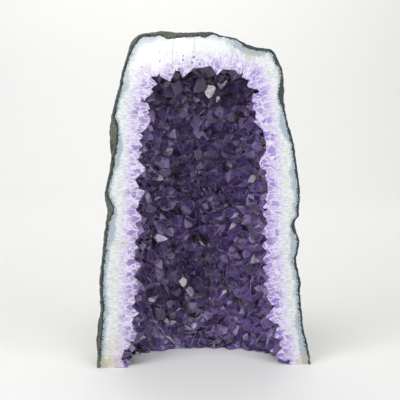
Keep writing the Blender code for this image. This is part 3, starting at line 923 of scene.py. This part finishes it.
def aged(s, colour, inner):
    """Painted highlights of the lights' sheen near the top, stains, pits and cracks of the sawn quartz, where
    the photograph shows them.
    """
    # Near-white patches near the top: painted highlights of the lights' sheen on the polished quartz
    painted_highlights = (
        (-24, 292, 30, 1.0), (-50, 281, 26, 0.7), (8, 294, 26, 0.6), (-62, 262, 22, 0.4), (-40, 273, 15, 0.6),
    )  # fmt: skip
    for x, z, radius, strength in painted_highlights:
        spread = s.step(s.noise(0.006, 3.0), 0.30, 0.60, 0.6, 1.0)
        share = s.times(s.times(s.times(s.spot(x, z, radius), spread), strength), inner)
        colour = s.mix(share, colour, (0.93, 0.93, 0.93))
    stains = (
        (40, 280, 8, 0.60), (-73, 113, 9, 0.30), (-86, 4, 15, 0.75), (91, 3, 11, 0.55), (-80, 24, 12, 0.30),
        (-88, 20, 8, 0.25), (68, 262, 4, 0.35), (43, 228, 3.5, 0.90),
    )  # fmt: skip
    for x, z, radius, strength in stains:
        mottled = s.times(s.spot(x, z, radius), s.step(s.noise(0.004, 4.0), 0.35, 0.6, 0.3, 1.0))
        colour = s.mix(s.times(mottled, strength), colour, (0.48, 0.39, 0.18))
    holes = s.cells("F1", s.place, 0.0030).outputs["Distance"]
    some = s.step(s.noise(0.005, 2.0), 0.47, 0.55)
    for x, z, radius in ((-14, 272, 17), (-32, 279, 12), (-52, 272, 6)):
        pit = s.times(s.times(s.step(holes, 0.36, 0.24), s.step(s.spot(x, z, radius), 0.05, 0.3)), some)
        colour = s.mix(s.times(pit, 0.85), colour, (0.060, 0.050, 0.080))
    cracks = (
        (-27.5, 290, 0.05, 270, 300, 0.65, 8), (-9, 290, -0.10, 274, 300, 0.55, 8),
        (25, 283, 0.30, 262, 298, 0.55, 6), (-84, 36, 3.0, 28, 40, 0.9, 4),
    )  # fmt: skip
    for x, z, slope, low, high, width, wander in cracks:
        crack = s.times(s.line(x, z, slope, low, high, width, wander), 0.6)
        colour = s.mix(crack, colour, (0.16, 0.14, 0.12))
    return colour


def cut_stone_material(polished):
    """The sawn stone: polished on the front, plain on the base."""
    s = Shader("polished_rim" if polished else "sawn_base")
    colour, inner, grain = cut_stone_colour(s)
    if polished:
        colour = aged(s, colour, inner)
    roughness = s.step(inner, 0.0, 1.0, *((0.75, 0.30) if polished else (0.85, 0.60)))
    relief = s.add(s.times(s.noise(0.0016, 4.0), s.step(inner, 0.0, 1.0, 1.0, 0.12)), s.times(grain, 0.15))
    normal = s.bump(relief, 0.5, 0.0006)
    return s.with_surface(Base_Color=colour, Roughness=roughness, IOR=1.54, Normal=normal)


def inner_wall_material():
    """The milky quartz that the crystals grow from."""
    s = Shader("milky_quartz")
    cloud = s.noise(0.008, 4.0)
    colour = s.mix(cloud, (0.42, 0.36, 0.56), (0.62, 0.57, 0.72))
    return s.with_surface(Base_Color=colour, Roughness=0.6, Normal=s.bump(cloud, 0.3, 0.001))


def cut_crystal_material():
    """Crystals sawn through: pale near the wall, purple towards the tips, with white seams between."""
    s = Shader("sawn_crystals")
    colour, cloudy = growth_colour(s, s.stored("from_wall"))
    colour = aged(s, colour, 1.0)
    normal = s.bump(cloudy, 0.25, 0.0004)
    return s.with_surface(Base_Color=colour, Roughness=0.25, IOR=1.544, Normal=normal)


def crystal_material():
    """Amethyst: clear purple quartz, with a tone for each crystal, painted reflections and shade on its
    facets, and painted shade in the crevices.
    """
    s = Shader("amethyst")
    tone, beside, border = s.stored("tone"), s.stored("beside"), s.stored("border")
    cloud = s.noise(0.014, 4.0)
    smoke = s.noise(0.030, 2.0, place=s.vector(s.z, s.x, s.y))
    veil = s.noise(0.0018, 5.0, roughness=0.65)
    facet = s.stored("facet")
    # Cells of painted inner reflections: lighter and darker patches inside the crystals
    inside = s.cells("F1", s.place, 0.0046).outputs["Color"]
    painted_reflection, shade, _ = s.node("ShaderNodeSeparateColor", Color=inside).outputs
    layers = (
        (cloud, 0.50, 0.68, 0.60, (0.090, 0.065, 0.330)),
        (smoke, 0.50, 0.66, 0.60, (0.120, 0.065, 0.095)),
        # Lighter and more violet on the right: partly a more violet hue, partly painted light from the left
        (s.x, 0.005, 0.055, 0.60, (0.36, 0.21, 0.74)),
        # Near-black and bright lilac facets at random: painted shade and painted reflections
        (facet, 0.54, 0.18, 0.92, (0.012, 0.006, 0.032)),
        (facet, 0.70, 0.92, 0.92, (0.76, 0.60, 1.00)),
        # Painted reflections and painted shade in those cells
        (painted_reflection, 0.66, 0.92, 0.34, (0.44, 0.33, 0.76)),
        (shade, 0.40, 0.10, 0.52, (0.016, 0.009, 0.036)),
        # Lighter towards a crystal's sides: painted light scattered at its edges
        (beside, 0.20, 0.72, 0.28, (0.33, 0.24, 0.56)),
        (veil, 0.54, 0.72, 0.22, (0.42, 0.32, 0.62)),
        # Near black far from any axis: painted shade in the crevices
        (beside, 0.80, 1.10, 0.92, (0.012, 0.008, 0.026)),
    )
    colour = s.layered(s.mix(tone, (0.050, 0.022, 0.122), (0.235, 0.130, 0.470)), layers)
    # Lighter facet borders: painted highlights on the bevels
    colour = s.mix(s.times(border, 0.42), colour, (0.60, 0.52, 0.80))
    # Near black at the top of the hollow: painted shade under the overhang
    ceiling_shade = s.step(s.add(s.z, s.sway(cloud, 0.03)), 0.222, 0.248)
    colour = s.mix(s.times(ceiling_shade, 0.55), colour, (0.022, 0.013, 0.040))
    # A dark patch low in the middle: painted shade in a deep hollow
    colour = s.mix(s.times(s.spot(-18, 58, 42), 0.60), colour, (0.020, 0.012, 0.036))
    volume = s.node("ShaderNodeVolumeAbsorption", Color=(0.48, 0.34, 0.72), Density=90.0)
    s.feed(s.output["Volume"], volume.outputs[0])
    return s.with_surface(
        Base_Color=colour,
        Roughness=s.add(s.step(veil, 0.3, 0.7, 0.03, 0.13), s.times(border, 0.12)),
        IOR=1.544,
        Transmission_Weight=0.50,
        Specular_IOR_Level=0.62,
        Normal=s.bump(s.add(veil, s.times(cloud, 0.5)), 0.10, 0.0005),
    )


def paper_material():
    """The white table and backdrop, with a faint sheen."""
    s = Shader("paper")
    grain = s.noise(0.02, 5.0)
    colour = s.mix(grain, (0.735, 0.735, 0.727), (0.750, 0.750, 0.742))
    return s.with_surface(Base_Color=colour, Roughness=0.5)


def stage():
    """A floor that sweeps up into a backdrop."""
    bm = bmesh.new()
    profile = [(FLOOR_FRONT, 0.0), (SWEEP_START, 0.0)]
    for step in range(1, SWEEP_STEPS + 1):
        angle = math.radians(90 * step / SWEEP_STEPS)
        across, up = SWEEP_RADIUS * math.sin(angle), SWEEP_RADIUS * (1 - math.cos(angle))
        profile.append((SWEEP_START + across, up))
    profile.append((SWEEP_START + SWEEP_RADIUS, BACKDROP_HEIGHT))
    sides = (-FLOOR_HALF_WIDTH, FLOOR_HALF_WIDTH)
    rows = [[bm.verts.new((x, y, z)) for y, z in profile] for x in sides]
    for i in range(len(profile) - 1):
        bm.faces.new((rows[0][i], rows[0][i + 1], rows[1][i + 1], rows[1][i]))
    bmesh.ops.recalc_face_normals(bm, faces=bm.faces)
    floor = add_piece("floor", bm)
    for polygon in floor.data.polygons:
        polygon.use_smooth = True
    floor.data.materials.append(paper_material())


def main():
    """Builds the pieces and the stage."""
    stone = make_stone()
    crystals = make_crystals()
    low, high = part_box("geode_shell")
    co = vertex_places(stone.data)
    shift = Vector(((low.x + high.x) / 2 - (co[:, 0].min() + co[:, 0].max()) / 2, low.y, 0))
    for obj in (stone, crystals):
        obj.data.transform(Matrix.Translation(shift))
    milky = inner_wall_material()
    for material in (rind_material(), cut_stone_material(True), cut_stone_material(False), milky):
        stone.data.materials.append(material)
    for material in (crystal_material(), cut_crystal_material(), milky):
        crystals.data.materials.append(material)
    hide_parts("geode_shell")
    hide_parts("crystal_crust")
    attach(stone, "root")
    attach(crystals, "root")
    stage()
    camera(shift)
    lights()


def camera(middle):
    """The camera, at the photograph's angle."""
    target = Vector((middle.x + CAMERA_ASIDE, middle.y, CAMERA_HEIGHT))
    level = math.cos(CAMERA_ELEVATION)
    back = Vector(
        (math.sin(CAMERA_AZIMUTH) * level, -math.cos(CAMERA_AZIMUTH) * level, math.sin(CAMERA_ELEVATION))
    )
    data = bpy.data.cameras.new("camera")
    data.lens = LENS
    data.sensor_width = SENSOR
    obj = add_object("camera", data)
    obj.location = target + back * CAMERA_DISTANCE
    obj.rotation_euler = back.to_track_quat("Z", "Y").to_euler()
    bpy.context.scene.camera = obj


def area_light(name, place, target, size, power):
    """A rectangular light that faces its target."""
    data = bpy.data.lights.new(name, "AREA")
    data.shape = "RECTANGLE"
    data.size, data.size_y = size
    data.energy = power
    obj = add_object(name, data)
    obj.location = place
    obj.rotation_euler = (Vector(place) - Vector(target)).to_track_quat("Z", "Y").to_euler()


def lights():
    """The lights, of which two small ones make glints, and a soft sky."""
    for name, place, size, power in (
        ("top", (-0.15, -0.60, 1.35), (0.90, 0.65), 13.6),
        ("left", (-0.90, -0.90, 0.90), (0.75, 0.65), 6.6),
        ("right", (0.90, -1.00, 0.80), (0.55, 0.75), 5.4),
        ("left_glint", (-0.38, -1.20, 0.36), (0.20, 0.20), 1.6),
        ("right_glint", (0.31, -1.10, 0.62), (0.20, 0.20), 1.6),
    ):
        area_light(name, place, (0, 0, 0.15), size, power)
    area_light("backdrop", (0.0, 0.9, 1.5), (0, 1.7, 0.15), (1.8, 0.6), 24)
    world = bpy.data.worlds.new("world")
    bpy.context.scene.world = world
    world.use_nodes = True
    nodes, links = world.node_tree.nodes, world.node_tree.links
    sky = nodes.new("ShaderNodeTexCoord")
    height = nodes.new("ShaderNodeSeparateXYZ")
    fade = nodes.new("ShaderNodeMapRange")
    links.new(sky.outputs["Generated"], height.inputs[0])
    links.new(height.outputs["Z"], fade.inputs["Value"])
    fade.inputs["To Min"].default_value, fade.inputs["To Max"].default_value = 0.20, 0.42
    links.new(fade.outputs["Result"], nodes["Background"].inputs["Strength"])
    bpy.context.scene.view_settings.view_transform = "Standard"


main()
